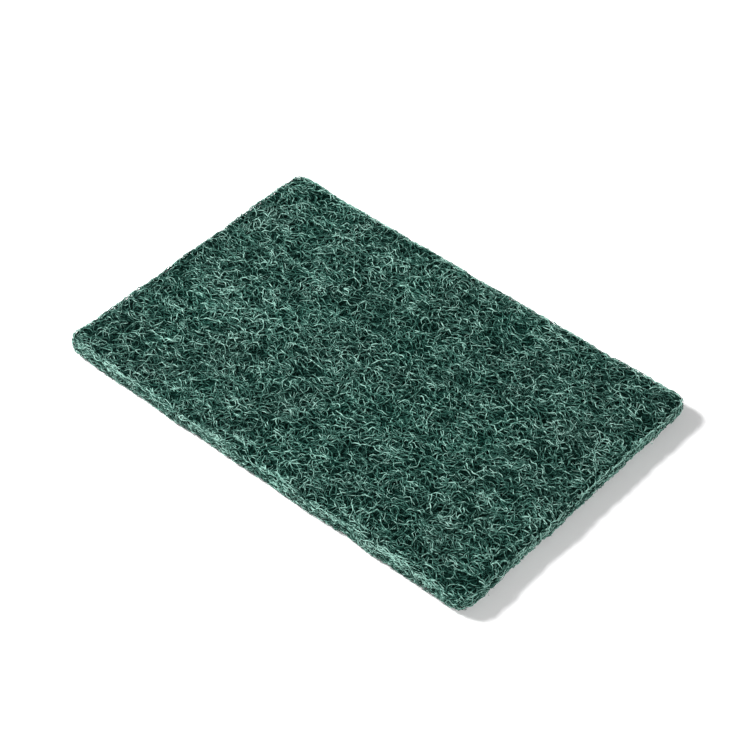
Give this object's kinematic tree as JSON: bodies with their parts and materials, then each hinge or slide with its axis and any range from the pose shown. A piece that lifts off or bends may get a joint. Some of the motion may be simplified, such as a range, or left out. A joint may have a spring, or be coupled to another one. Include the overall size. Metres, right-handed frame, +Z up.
{
  "type": "nylon scouring pad",
  "caption": "Flat rectangular scouring pad of thick, springy non-woven nylon web, with softly rounded cut edges and corners.",
  "frame": {"origin": "middle of the pad's bounding box, at the height of the underside it lies on", "axes": "+X along the pad's long side, +Y along its short side, +Z up through its thickness"},
  "size_m": [0.2298, 0.1529, 0.0097],
  "materials": {
    "nylon_web": "matte"
  },
  "bodies": {
    "root": {"scouring_pad": "nylon_web"}
  },
  "joints": []
}
